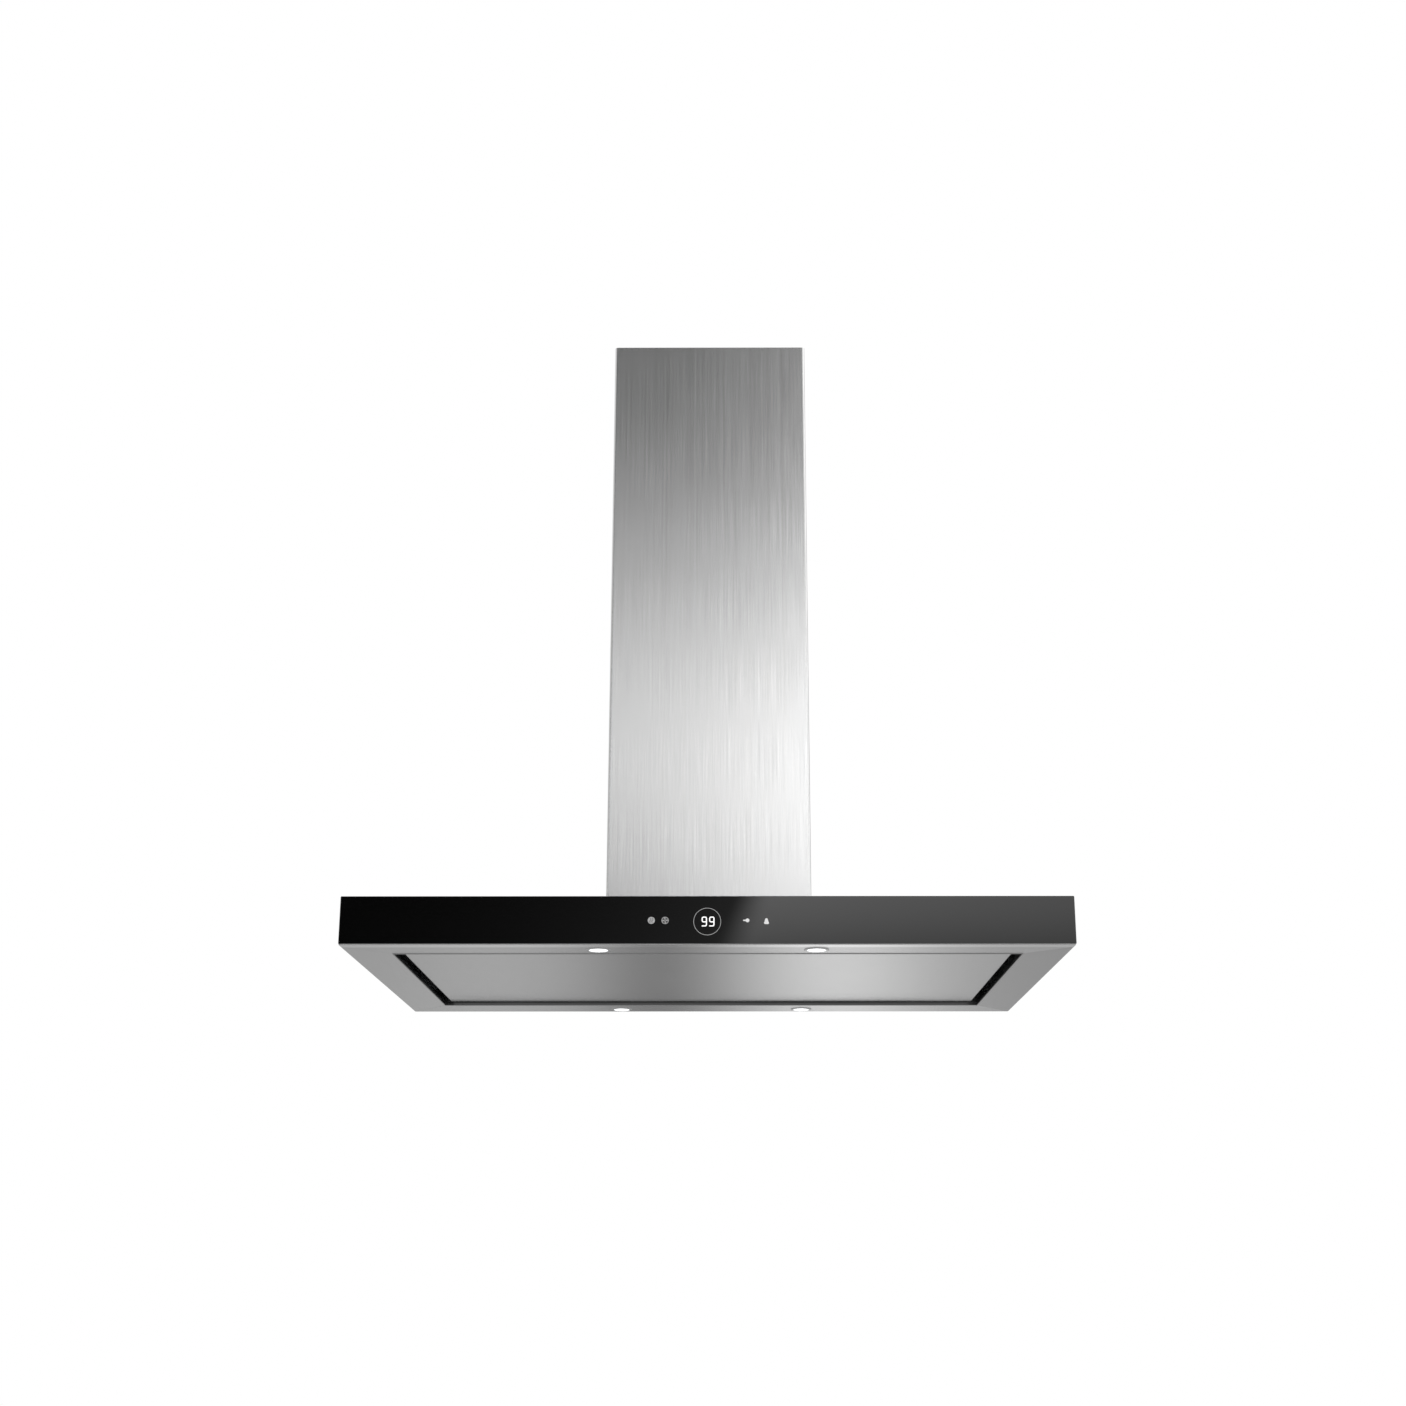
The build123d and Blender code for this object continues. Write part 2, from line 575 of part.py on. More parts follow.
def lamp_driver():
    """LED driver with two screw ears, on the deck, left of the blower."""
    x, half_y, height, corner_r = (-372.0, -282.0), 60.0, 19.0, 4.0
    ear, ear_half, ear_t = 10.0, 8.0, 2.0
    driver = block(x, centred(half_y), (DECK_TOP, DECK_TOP + height))
    driver = round_corners(driver, corner_r)
    driver += block((x[0] - ear, x[1] + ear), centred(ear_half), (DECK_TOP, DECK_TOP + ear_t))
    save("lamp_driver", driver)


def terminal_box():
    """Mains terminal box with its lid and cable gland, on the motor box."""
    height, corner_r, wall = 30.0, 3.0, 2.0
    z = (BOX_TOP, BOX_TOP + height)
    inside = (TERMINAL[0] + wall, TERMINAL[1] - wall)
    box = round_corners(block(TERMINAL, TERMINAL, z), corner_r)
    save("terminal_box", box - block(inside, inside, (z[0] + wall, z[1] + OVER)))
    centre, thread_r, bore_r = sum(TERMINAL) / 2, 6.0, 4.0
    base = z[1] + wall
    lid = round_corners(block(TERMINAL, TERMINAL, (z[1], base)), corner_r)
    lid -= post(centre, centre, (z[1] - OVER, base + OVER), thread_r)
    save("terminal_box_lid", lid)
    nut_r, nut_h, cap_r, cap_h, bevel = 10.0, 6.0, 8.0, 10.0, 1.5
    low, top = base - nut_h, base + nut_h + cap_h
    gland = Pos(centre, centre, base) * extrude(RegularPolygon(nut_r, 6), nut_h)
    gland += post(centre, centre, (low, base), thread_r)
    gland += post(centre, centre, (base + nut_h, top), cap_r)
    gland = chamfer(gland.faces().sort_by(Axis.Z)[-1].edges(), bevel)
    save("cable_gland", gland - post(centre, centre, (low - OVER, top + OVER), bore_r))


def motor_capacitor():
    """Run capacitor with two blade terminals, on the motor box."""
    place, can_r, can_h, edge_r = -82.0, 15.0, 52.0, 2.0
    blade_gap, blade_half, blade_t, blade_h = 4.5, 3.0, 0.4, 8.0
    can = post(place, place, (BOX_TOP, BOX_TOP + can_h), can_r)
    can = fillet(can.faces().sort_by(Axis.Z)[-1].edges(), edge_r)
    for x in about(place, blade_gap):
        can += block(about(x, blade_half), about(place, blade_t),
                     (BOX_TOP + can_h - OVER, BOX_TOP + can_h + blade_h))
    save("motor_capacitor", can)


# ---- blower -------------------------------------------------------------------------------
def motor_box():
    """Folded box round the blower, open towards the canopy."""
    flange, flange_end, outlet_r = 130.0, 100.0, 70.0
    inside = centred(BOX_HALF - SHEET)
    box = block(centred(BOX_HALF), centred(BOX_HALF), (Z_TOP, BOX_TOP))
    for x, y in ((flange_end, flange), (flange, flange_end)):
        box += block(centred(x), centred(y), (Z_TOP, Z_TOP + SHEET))
    box -= block(inside, inside, (Z_TOP - OVER, BOX_TOP - SHEET))
    box -= post(0, 0, (BOX_TOP - SHEET - OVER, BOX_TOP + OVER), outlet_r)
    save("motor_box", box)


def scroll_outline(inset):
    """Volute seen along the shaft: three quarter arcs that open out, then the outlet."""
    step, first_r, growth = 6.0, 82.0 - inset, 12.0
    outlet, lip, rise, top_gap = (-58.0 + inset, 82.0 - inset), 6.0, 70.0, 0.3
    top = BOX_TOP - SHEET - SHAFT_Z - top_gap
    centres = [Vector(-step, -step), Vector(step, -step), Vector(step, step)]
    radii = [first_r + n * growth for n in range(3)]
    # one arc ends where the next one, with a larger radius, begins
    ends = [
        centres[0] + Vector(0, radii[0]),
        centres[0] - Vector(radii[0], 0),
        centres[1] - Vector(0, radii[1]),
        centres[2] + Vector(radii[2], 0),
    ]
    diagonal = math.sqrt(0.5)
    middles = [
        centres[0] + Vector(-diagonal, diagonal) * radii[0],
        centres[1] + Vector(-diagonal, -diagonal) * radii[1],
        centres[2] + Vector(diagonal, -diagonal) * radii[2],
    ]
    arcs = [ThreePointArc(ends[n], middles[n], ends[n + 1]) for n in range(3)]
    outlet_wall = Polyline(ends[3], ends[3] + Vector(0, rise), Vector(outlet[1], top),
                           Vector(outlet[0], top), ends[0] + Vector(0, lip), ends[0])
    face = make_face([*arcs, *outlet_wall.edges()])
    return Pos(0, SHAFT_Y, SHAFT_Z) * Plane.YZ.location * face


def blower_housing():
    """Housing split on its middle plane, each half with an inlet hole and an inlet ring."""
    wall, joint, inlet_hole = 2.0, 0.1, 60.0
    outlet_y, outlet_drop = (SHAFT_Y - 54.0, SHAFT_Y + 78.0), 9.0
    half = extrude(scroll_outline(0), SCROLL_HALF)
    half -= extrude(scroll_outline(wall), SCROLL_HALF - wall)
    half -= block((-OVER, SCROLL_HALF - wall), outlet_y, (BOX_TOP - outlet_drop, BOX_TOP))
    half -= on_shaft((SCROLL_HALF - wall - OVER, SCROLL_HALF + OVER), inlet_hole)
    half -= block((-OVER, joint), centred(CHIMNEY), (Z_TOP, BOX_TOP))
    save("blower_housing_right", half)
    save("blower_housing_left", mirror(half, about=Plane.YZ))

    flange_r, flange_t, neck_r, neck, inlet_r, mouth_r = 68.0, 2.0, 59.5, 6.0, 56.5, 1.6
    inner, outer = SCROLL_HALF - neck, SCROLL_HALF + flange_t
    ring = on_shaft((SCROLL_HALF, outer), flange_r) + on_shaft((inner, outer), neck_r)
    ring -= on_shaft((inner - OVER, outer + OVER), inlet_r)
    outer_circles = ring.edges().filter_by(GeomType.CIRCLE).sort_by(Axis.X)[-2:]
    ring = fillet(outer_circles.sort_by(SortBy.RADIUS)[0], mouth_r)
    save("inlet_ring_right", ring)
    save("inlet_ring_left", mirror(ring, about=Plane.YZ))


def impeller():
    """Double-inlet wheel: a middle disc with its hub, blades on each side, end rings."""
    disc_half, disc_r, hub_x, hub_r, ring_t = 1.0, WHEEL_R - 1.0, (-10.0, 14.0), 13.0, 2.5
    blade_l, blade_t, turn, edge_gap = 12.0, 1.2, 28.0, 1.0
    disc = on_shaft(centred(disc_half), disc_r) + on_shaft(hub_x, hub_r)
    disc -= on_shaft(centred(WHEEL_HALF), SHAFT_R)
    blade_x = (disc_half, WHEEL_HALF - ring_t)
    ring_x = (blade_x[1], WHEEL_HALF)
    ring = on_shaft(ring_x, WHEEL_R) - on_shaft(ring_x, WHEEL_IN)
    save("impeller_wheel", disc, *mirrored(ring, Plane.YZ))
    middle_r = (WHEEL_IN + WHEEL_R) / 2 - edge_gap
    blade = block(blade_x, centred(blade_l / 2), centred(blade_t / 2))
    blade = Pos(0, middle_r, 0) * Rot(turn, 0, 0) * blade
    axis = Pos(0, SHAFT_Y, SHAFT_Z)
    turns = [axis * Rot(n * 360 / BLADES, 0, 0) * blade for n in range(BLADES)]
    save("impeller_blades", *[s for b in turns for s in mirrored(b, Plane.YZ)])
    save("motor_shaft", on_shaft(SHAFT_X, SHAFT_R))


def motor():
    """Motor inside the left half of the wheel, on a three-armed bracket over the inlet."""
    edge_r, boss_end = 4.0, -12.0
    body = on_shaft(MOTOR_X, MOTOR_R)
    body = fillet(body.edges().filter_by(GeomType.CIRCLE), edge_r)
    body += on_shaft((SHAFT_X[0], boss_end), BOSS_R)
    body -= on_shaft((SHAFT_X[0] - OVER, boss_end + OVER), SHAFT_R + RUN_GAP)
    save("motor_housing", body)

    plane_x = (-SCROLL_HALF - 4.0, -SCROLL_HALF - 2.0)
    hub_r, ring_r, ring_in, hole_r = 26.0, 68.0, 62.0, BOSS_R + 0.3
    arm_half, arm_z, stud_z, stud_r = 6.0, (20.0, 65.0), 22.0, 4.0
    bracket = on_shaft(plane_x, ring_r) - on_shaft(plane_x, ring_in)
    bracket += on_shaft(plane_x, hub_r)
    arm = block(plane_x, centred(arm_half), arm_z)
    arm += bar_x((plane_x[1], MOTOR_X[0]), 0, stud_z, stud_r)
    for n in range(3):
        bracket += Pos(0, SHAFT_Y, SHAFT_Z) * Rot(n * 120, 0, 0) * arm
    save("motor_bracket", bracket - on_shaft((plane_x[0] - OVER, plane_x[1] + OVER), hole_r))


def duct_collar():
    """Collar for a 150 mm duct, with a ledge that the flaps close on and their pin."""
    flange_r, flange_t, bevel = 86.0, 2.0, 1.0
    bore_r = DUCT_R - COLLAR_T
    collar = post(0, 0, (BOX_TOP, BOX_TOP + flange_t), flange_r)
    collar += post(0, 0, (BOX_TOP, COLLAR_TOP), DUCT_R)
    collar = chamfer(collar.faces().sort_by(Axis.Z)[-1].edges(), bevel)
    collar -= post(0, 0, (BOX_TOP - OVER, COLLAR_TOP + OVER), bore_r)
    ledge_z, ledge_r, ledge_in = (FLAP_Z - 4.0, FLAP_Z - 2.3), bore_r + 0.5, bore_r - 2.5
    collar += post(0, 0, ledge_z, ledge_r) - post(0, 0, ledge_z, ledge_in)
    collar -= bar_x(centred(DUCT_R + OVER), 0, FLAP_Z, FLAP_PIN_R)
    save("duct_collar", collar)
    pin_end = 0.5
    save("flap_pin", bar_x(centred(DUCT_R - pin_end), 0, FLAP_Z, FLAP_PIN_R))


def flaps():
    """Two half-round non-return flaps whose knuckles share one pin."""
    flap_r, flap_t, drop, knuckle_r, clear = DUCT_R - 3.6, 1.2, 2.0, 3.0, 3.4
    half_knuckle, tie_in, tie_out, apart = 7.0, 1.9, 6.0, 0.4
    z = (FLAP_Z - drop, FLAP_Z - drop + flap_t)
    knuckles = {"front": (-40.0, 0.0, 40.0), "rear": (-20.0, 20.0)}
    for name, sign in (("front", -1), ("rear", 1)):
        flap = post(0, 0, z, flap_r) & block(centred(DUCT_R), beside(sign, apart, DUCT_R), z)
        flap -= bar_x(centred(DUCT_R), 0, FLAP_Z, clear)
        for x in knuckles[name]:
            span = about(x, half_knuckle)
            flap += bar_x(span, 0, FLAP_Z, knuckle_r)
            flap += block(span, beside(sign, tie_in, tie_out), z)
            flap -= bar_x(about(x, half_knuckle + OVER), 0, FLAP_Z, FLAP_PIN_R + RUN_GAP)
        save(f"flap_{name}", flap)


# ---- build --------------------------------------------------------------------------------
os.makedirs("parts", exist_ok=True)
ceiling_plate()
upper_legs()
upper_chimney()
cover_clips()
lower_legs()
frame_feet()
clamp_bolts()
lower_chimney()
canopy_shell()
front_trim()
front_glass()
rims()
filter_deck()
filter_rails()
for filter_side, filter_x in (("left", -FILTER_CENTRE), ("right", FILTER_CENTRE)):
    filter_frame(filter_side, filter_x)
    filter_mesh(filter_side, filter_x)
    filter_latch(filter_side, filter_x)
panel_skin()
keepers = panel_hardware(panel_inner_pan())
hinge_brackets()
magnetic_catches(keepers)
lamps()
display_module()
control_board(*control_box())
lamp_driver()
terminal_box()
motor_capacitor()
motor_box()
blower_housing()
impeller()
motor()
duct_collar()
flaps()
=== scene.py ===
import json
import math

import bmesh
import bpy
import numpy as np
from mathutils import Euler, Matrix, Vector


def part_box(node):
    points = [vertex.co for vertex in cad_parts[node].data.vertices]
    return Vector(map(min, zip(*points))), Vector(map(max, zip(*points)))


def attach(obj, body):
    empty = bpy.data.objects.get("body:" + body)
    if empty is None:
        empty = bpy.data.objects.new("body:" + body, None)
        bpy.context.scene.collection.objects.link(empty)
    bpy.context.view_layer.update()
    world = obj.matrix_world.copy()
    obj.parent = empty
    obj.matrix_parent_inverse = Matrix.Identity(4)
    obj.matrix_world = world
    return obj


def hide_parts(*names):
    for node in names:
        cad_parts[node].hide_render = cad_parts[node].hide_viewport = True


# Looks for a ceiling-hung island range hood: brushed stainless chimney and canopy, black glass
# front with touch keys, mitred underside with a suction panel and four LED lamps.
# Metres, +Z up, +X right, -Y front. Origin on the ceiling plate's top face.

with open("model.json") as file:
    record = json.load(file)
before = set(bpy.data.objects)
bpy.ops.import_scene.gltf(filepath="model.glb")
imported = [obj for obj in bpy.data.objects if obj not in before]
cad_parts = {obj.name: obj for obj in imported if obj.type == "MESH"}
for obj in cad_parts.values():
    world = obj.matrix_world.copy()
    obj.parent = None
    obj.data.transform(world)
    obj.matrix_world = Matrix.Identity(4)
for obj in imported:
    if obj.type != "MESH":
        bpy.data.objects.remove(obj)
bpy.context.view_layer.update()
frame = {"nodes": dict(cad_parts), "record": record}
nodes = frame["nodes"]
MM = 0.001

glass_low, glass_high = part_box("front_glass")
FRONT = glass_low.y
GLASS_MID = (glass_low.z + glass_high.z) / 2
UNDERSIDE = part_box("canopy_shell")[0].z
LAMP_X = 0.135          # the lamps' distance to each side of the middle


# ---- shader tools -------------------------------------------------------------------------
class Value:
    """One output of a shader node; arithmetic on it adds Math nodes."""

    def __init__(self, shader, socket):
        self.shader = shader
        self.socket = socket

    def __add__(self, other):
        return self.shader.maths("ADD", self, other)

    __radd__ = __add__

    def __sub__(self, other):
        return self.shader.maths("SUBTRACT", self, other)

    def __rsub__(self, other):
        return self.shader.maths("SUBTRACT", other, self)

    def __mul__(self, other):
        return self.shader.maths("MULTIPLY", self, other)

    __rmul__ = __mul__

    def __truediv__(self, other):
        return self.shader.maths("DIVIDE", self, other)

    def __pow__(self, other):
        return self.shader.maths("POWER", self, other)

    def __neg__(self):
        return self * -1.0

    def size(self):
        return self.shader.maths("ABSOLUTE", self)

    def at_least(self, other):
        return self.shader.maths("MAXIMUM", self, other)

    def at_most(self, other):
        return self.shader.maths("MINIMUM", self, other)

    def exp(self):
        return self.shader.maths("EXPONENT", self)

    def smooth(self, low, high):
        """0 below low, 1 above high, with an S-curve between them."""
        return self.shader.node(
            "ShaderNodeMapRange",
            {"interpolation_type": "SMOOTHSTEP"},
            {"Value": self, "From Min": low, "From Max": high},
        )

    def sine(self):
        return self.shader.maths("SINE", self)

    def hump(self, centre, width):
        """A bell curve: exp(-((value - centre) / width) squared)."""
        shifted = (self - centre) / width
        return (-(shifted * shifted)).exp()


class Shader:
    """The nodes of one material or world."""

    def __init__(self, owner):
        owner.use_nodes = True
        self.tree = owner.node_tree
        self.tree.nodes.clear()

    def node(self, kind, settings=None, sockets=None, output=0):
        """Adds a node: its settings first, then its sockets' values or links."""
        made = self.tree.nodes.new(kind)
        for name, setting in (settings or {}).items():
            setattr(made, name, setting)
        for key, given in (sockets or {}).items():
            if isinstance(given, Value):
                self.tree.links.new(given.socket, made.inputs[key])
            else:
                made.inputs[key].default_value = given
        return Value(self, made.outputs[output]) if made.outputs else made

    def maths(self, operation, *inputs):
        return self.node("ShaderNodeMath", {"operation": operation}, dict(enumerate(inputs)))

    def vector(self, operation, *inputs):
        return self.node(
            "ShaderNodeVectorMath", {"operation": operation}, dict(enumerate(inputs))
        )

    def scaled(self, vector, factor):
        return self.node(
            "ShaderNodeVectorMath", {"operation": "SCALE"}, {0: vector, "Scale": factor}
        )

    def blend(self, factor, low, high):
        """A colour between two colours."""
        return self.node(
            "ShaderNodeMix", {"data_type": "RGBA"}, {0: factor, 6: low, 7: high}, output=2
        )

    def blend_vector(self, factor, low, high):
        return self.node(
            "ShaderNodeMix", {"data_type": "VECTOR"}, {0: factor, 4: low, 5: high}, output=1
        )

    def place(self):
        return self.node("ShaderNodeTexCoord", output="Object")

    def normal(self):
        return self.node("ShaderNodeNewGeometry", output="Normal")

    def parts(self, vector):
        """The three components of a vector as values."""
        split = self.node("ShaderNodeSeparateXYZ", None, {0: vector}, "X")
        outputs = split.socket.node.outputs
        return [Value(self, outputs[axis]) for axis in ("X", "Y", "Z")]

    def noise(self, vector, scale, detail=2.0, roughness=0.5):
        return self.node(
            "ShaderNodeTexNoise",
            None,
            {"Vector": vector, "Scale": scale, "Detail": detail, "Roughness": roughness},
            "Fac",
        )

    def bump(self, height, distance, strength=1.0):
        return self.node(
            "ShaderNodeBump",
            None,
            {"Height": height, "Distance": distance, "Strength": strength},
            "Normal",
        )


def finish(name, build):
    """A material whose Principled sockets come from build(shader)."""
    material = bpy.data.materials.new(name)
    shader = Shader(material)
    surface = shader.node("ShaderNodeBsdfPrincipled", None, build(shader))
    shader.node("ShaderNodeOutputMaterial", None, {"Surface": surface})
    return material


def grey(level, warmth=0.0):
    """A near-neutral colour; warmth lifts red and lowers blue."""
    return (level * (1 + warmth), level, level * (1 - warmth), 1.0)


# ---- finishes -----------------------------------------------------------------------------
AXES = {"X": (1, 0, 0), "Y": (0, 1, 0), "Z": (0, 0, 1)}
SCRATCH_ALONG, SCRATCH_ACROSS = 9.0, 3600.0     # the fine scratches' frequencies, per metre
STREAK_ALONG, STREAK_ACROSS = 1.6, 900.0        # and those of the broad streaks
FOLD = 0.7              # a normal this far along the grain belongs to a folded-down end
TONE_SPREAD = 0.035     # how far the tone strays to each side of a sheet's level


def grain_scale(axis, along, across):
    return tuple(along if on else across for on in AXES[axis])


def brushed(name, axis, fold_axis, level, scratch=0.32, rough=0.24, slot_shade_share=1.0):
    """Stainless sheet whose scratches run along one axis, or fold_axis on folded-down ends.

    The normal leans across the grain by scratch times a noise that is stretched along it.
    Upright faces get painted shade where they turn up into the slot: a plain grey at the given
    share of the level, when that share is below one.
    """

    def build(s):
        place, normal = s.place(), s.normal()
        index = "XYZ".index(axis)
        folded = s.parts(normal)[index].size().smooth(FOLD, FOLD + 0.05)
        grain = s.blend_vector(folded, AXES[axis], AXES[fold_axis])

        def stretched(along, across):
            scale = s.blend_vector(
                folded, grain_scale(axis, along, across), grain_scale(fold_axis, along, across)
            )
            return s.noise(s.vector("MULTIPLY", place, scale), 1.0)

        fine = stretched(SCRATCH_ALONG, SCRATCH_ACROSS)
        broad = stretched(STREAK_ALONG, STREAK_ACROSS)
        cloud = s.noise(place, 5.5)
        lean = s.scaled(s.vector("CROSS_PRODUCT", normal, grain), (fine - 0.5) * scratch)
        tone = (fine * 0.35 + broad * 0.45 + cloud * 0.2).smooth(0.32, 0.68)
        dull, bright = level * (1 - TONE_SPREAD), level * (1 + TONE_SPREAD)
        colour = s.blend(tone, grey(dull, 0.004), grey(bright, -0.004))
        # painted shade: upright faces, where they turn up into the slot, take a plain darker grey
        if slot_shade_share < 1.0:
            flat = s.parts(normal)[2].size().smooth(0.2, 0.6)
            colour = s.blend(flat, grey(level * slot_shade_share), colour)
        return {
            "Metallic": 1.0,
            "Base Color": colour,
            "Roughness": rough + broad * 0.05 + cloud * 0.03 - 0.04,
            "Normal": s.vector("NORMALIZE", s.vector("ADD", normal, lean)),
        }

    return finish(name, build)


def black_glass():
    """Polished black glass with faint wiped smears, specks of dust and a ground edge."""

    def build(s):
        place = s.place()
        smear = s.noise(s.vector("MULTIPLY", place, (3.0, 3.0, 14.0)), 1.0, 3.0)
        dust = s.noise(place, 900.0, 1.0).smooth(0.68, 0.8)
        ground = 1.0 - s.parts(s.normal())[1].size().smooth(0.55, 0.97)
        face = s.blend(dust * 0.4, grey(0.0012, -0.02), grey(0.005))
        return {
            "Base Color": s.blend(ground, face, grey(0.30)),
            "Roughness": 0.012 + smear.smooth(0.5, 0.75) * 0.03 + dust * 0.03 + ground * 0.4,
            "IOR": 1.52,
        }

    return finish("polished_black_glass", build)


def galvanised():
    """Zinc-coated sheet with angular spangles of slightly different brightness."""

    def build(s):
        place = s.place()
        cell = s.node(
            "ShaderNodeTexVoronoi", None, {"Vector": place, "Scale": 115.0}, "Color"
        )
        flake = s.parts(cell)[0]
        cloud = s.noise(place, 14.0, 4.0)
        return {
            "Metallic": 0.85,
            "Base Color": s.blend(
                flake * 0.6 + cloud * 0.4, grey(0.40, -0.03), grey(0.62, -0.02)
            ),
            "Roughness": 0.36 + flake * 0.16 + cloud * 0.06,
            "Normal": s.bump(flake * 0.5 + cloud, 0.0002, 0.35),
        }

    return finish("galvanised_spangle", build)


def plated():
    """Bright zinc plating, slightly blue, with polishing swirls."""

    def build(s):
        place = s.place()
        swirl = s.noise(place, 320.0, 4.0)
        stain = s.noise(place, 60.0, 3.0)
        return {
            "Metallic": 1.0,
            "Base Color": s.blend(stain, grey(0.58, -0.03), grey(0.74, -0.015)),
            "Roughness": 0.2 + swirl * 0.16,
            "Normal": s.bump(swirl, 0.0001, 0.4),
        }

    return finish("zinc_plating", build)


def satin_aluminium():
    """Etched aluminium with rolling lines along X."""

    def build(s):
        place = s.place()
        rolled = s.noise(s.vector("MULTIPLY", place, (25.0, 1900.0, 1900.0)), 1.0, 2.0)
        cloud = s.noise(place, 30.0, 3.0)
        return {
            "Metallic": 1.0,
            "Base Color": s.blend(rolled * 0.5 + cloud * 0.5, grey(0.60), grey(0.78)),
            "Roughness": 0.34 + rolled * 0.14,
            "Normal": s.bump(rolled, 0.00012, 0.5),
        }

    return finish("satin_aluminium", build)


def plastic(name, low, high, warmth=0.0):
    """Moulded plastic with a spark-eroded texture and a soft change of gloss."""

    def build(s):
        place = s.place()
        pits = s.noise(place, 1400.0, 3.0, 0.6)
        cloud = s.noise(place, 22.0, 3.0)
        return {
            "Base Color": s.blend(
                pits * 0.6 + cloud * 0.4, grey(low, warmth), grey(high, warmth)
            ),
            "Roughness": 0.42 + cloud * 0.12 - pits * 0.06,
            "Normal": s.bump(pits, 0.00012, 0.5),
        }

    return finish(name, build)


def satin_chrome():
    """Plated bezel: fine flecks over slow clouds of brightness."""

    def build(s):
        place = s.place()
        flecks = s.noise(place, 1500.0, 2.0)
        cloud = s.noise(place, 90.0, 3.0)
        return {
            "Metallic": 1.0,
            "Base Color": s.blend(flecks * 0.5 + cloud * 0.5, grey(0.46), grey(0.60)),
            "Roughness": 0.22 + flecks * 0.12,
            "Normal": s.bump(flecks, 0.00006, 0.4),
        }

    return finish("satin_chrome_bezel", build)


def circuit_board():
    """Green solder mask with copper tracks under it and pale solder pads."""

    def build(s):
        place = s.place()
        tracks = s.node(
            "ShaderNodeTexBrick",
            {"offset": 0.5},
            {
                "Vector": place,
                "Scale": 90.0,
                "Mortar Size": 0.07,
                "Color1": grey(0.0),
                "Color2": grey(0.35),
                "Mortar": grey(1.0),
            },
            "Color",
        )
        track = s.parts(tracks)[0]
        pads = s.node(
            "ShaderNodeTexVoronoi",
            {"feature": "F1"},
            {"Vector": place, "Scale": 260.0, "Randomness": 0.3},
            "Distance",
        )
        pad = 1.0 - pads.smooth(0.16, 0.24)
        mask = s.blend(track, (0.012, 0.10, 0.045, 1), (0.03, 0.19, 0.085, 1))
        return {
            "Base Color": s.blend(pad * 0.8, mask, (0.55, 0.52, 0.42, 1)),
            "Roughness": 0.28 + pad * 0.2,
            "Metallic": pad * 0.7,
            "Normal": s.bump(track + pad, 0.00008, 0.6),
        }

    return finish("solder_mask_board", build)


def motor_paint():
    """Dark stoved paint with orange peel, worn lighter in places."""

    def build(s):
        place = s.place()
        peel = s.noise(place, 420.0, 3.0)
        wear = s.noise(place, 45.0, 5.0).smooth(0.62, 0.74)
        return {
            "Base Color": s.blend(wear, grey(0.055, -0.03), grey(0.16)),
            "Roughness": 0.38 + wear * 0.15,
            "Metallic": wear * 0.5,
            "Normal": s.bump(peel, 0.0001, 0.5),
        }

    return finish("stoved_motor_paint", build)


def lit_lens(name, row_y, radius, power):
    """Frosted LED lens, brightest over its chip: light falls off with the distance from the
    lamp's axis, and fine rings ripple over it."""

    def build(s):
        x, y, _ = s.parts(s.place())
        dx = (x.size() - LAMP_X) / radius
        dy = (y - row_y) / radius
        off_axis = (dx * dx + dy * dy) ** 0.5
        core = 1.0 - off_axis.smooth(0.55, 1.02) * 0.55
        rings = (off_axis * 46.0).sine() * 0.03
        return {
            "Base Color": s.blend(off_axis, grey(0.9), grey(0.75, -0.02)),
            "Roughness": 0.3 + rings,
            "Emission Color": s.blend(core + rings, grey(0.2, -0.03), grey(1.0, -0.015)),
            "Emission Strength": power,
        }

    return finish(name, build)


def lit_print(name, level, base):
    """A printed mark: base is its paint's brightness and level its light from behind."""

    def build(s):
        place = s.place()
        grain = s.noise(place, 2600.0, 2.0)
        return {
            "Base Color": s.blend(grain, grey(base * 0.9), grey(base * 1.1)),
            "Roughness": 0.35 + grain * 0.1,
            "Emission Color": s.blend(grain, grey(level * 0.86), grey(level * 1.08)),
            "Emission Strength": 1.0,
        }

    return finish(name, build)


# ---- surfaces -----------------------------------------------------------------------------
def strip_faces(rows, columns):
    """Quads of a rows x columns grid whose last column joins the first."""
    r, c = np.meshgrid(np.arange(rows - 1), np.arange(columns), indexing="ij")
    near, far = r * columns + c, r * columns + (c + 1) % columns
    return np.stack([near, far, far + columns, near + columns], axis=-1).reshape(-1, 4)


def piece(name, shells, material, body, smooth=True, caps=()):
    """One mesh from (points, faces) shells, with doubled points merged and faces outwards.
    Caps are extra faces of many corners, left flat."""
    offset, points, faces = 0, [], []
    for shell_points, shell_faces in shells:
        points.append(shell_points.reshape(-1, 3))
        faces += (np.asarray(shell_faces) + offset).tolist()
        offset += len(points[-1])
    mesh = bpy.data.meshes.new(name)
    mesh.from_pydata(np.concatenate(points).tolist(), [], [*faces, *caps])
    work = bmesh.new()
    work.from_mesh(mesh)
    bmesh.ops.remove_doubles(work, verts=work.verts, dist=2e-6)
    bmesh.ops.dissolve_degenerate(work, edges=work.edges, dist=1e-6)
    bmesh.ops.recalc_face_normals(work, faces=work.faces)
    work.to_mesh(mesh)
    work.free()
    mesh.materials.append(material)
    rounded = np.full(len(mesh.polygons), smooth)
    rounded[len(rounded) - len(caps):] = False
    mesh.polygons.foreach_set("use_smooth", rounded)
    made = bpy.data.objects.new(name, mesh)
    bpy.context.scene.collection.objects.link(made)
    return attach(made, body)


